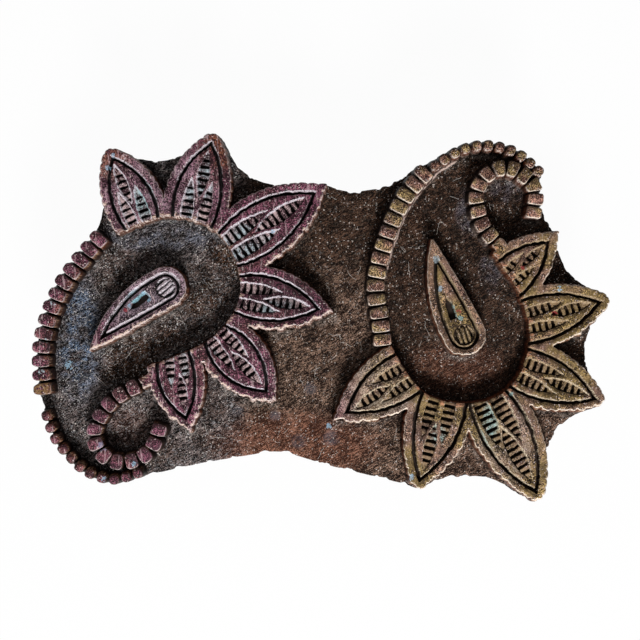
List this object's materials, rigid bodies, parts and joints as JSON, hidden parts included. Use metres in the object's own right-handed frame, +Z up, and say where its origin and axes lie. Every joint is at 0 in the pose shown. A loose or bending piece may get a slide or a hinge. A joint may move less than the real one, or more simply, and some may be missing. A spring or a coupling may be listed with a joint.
{
  "type": "textile printing block",
  "caption": "Wooden hand block for printing cloth, carved in relief with facing paisleys, with a waisted handle nailed into its back.",
  "frame": {"origin": "centre of the flat crown of the handle, on which the block stands when it is put down", "axes": "+X along the block to the right as pictured, +Y across it, +Z up out of the printing face"},
  "size_m": [0.1936, 0.1241, 0.058],
  "materials": {
    "carved_timber": "dye-stained, oiled and worn",
    "handle_wood": "bare, hand-polished by use",
    "nail_iron": "dark, lightly rusted"
  },
  "bodies": {
    "root": {"carved_block": "carved_timber", "handle": "handle_wood", "handle_nails": "nail_iron"}
  },
  "joints": []
}
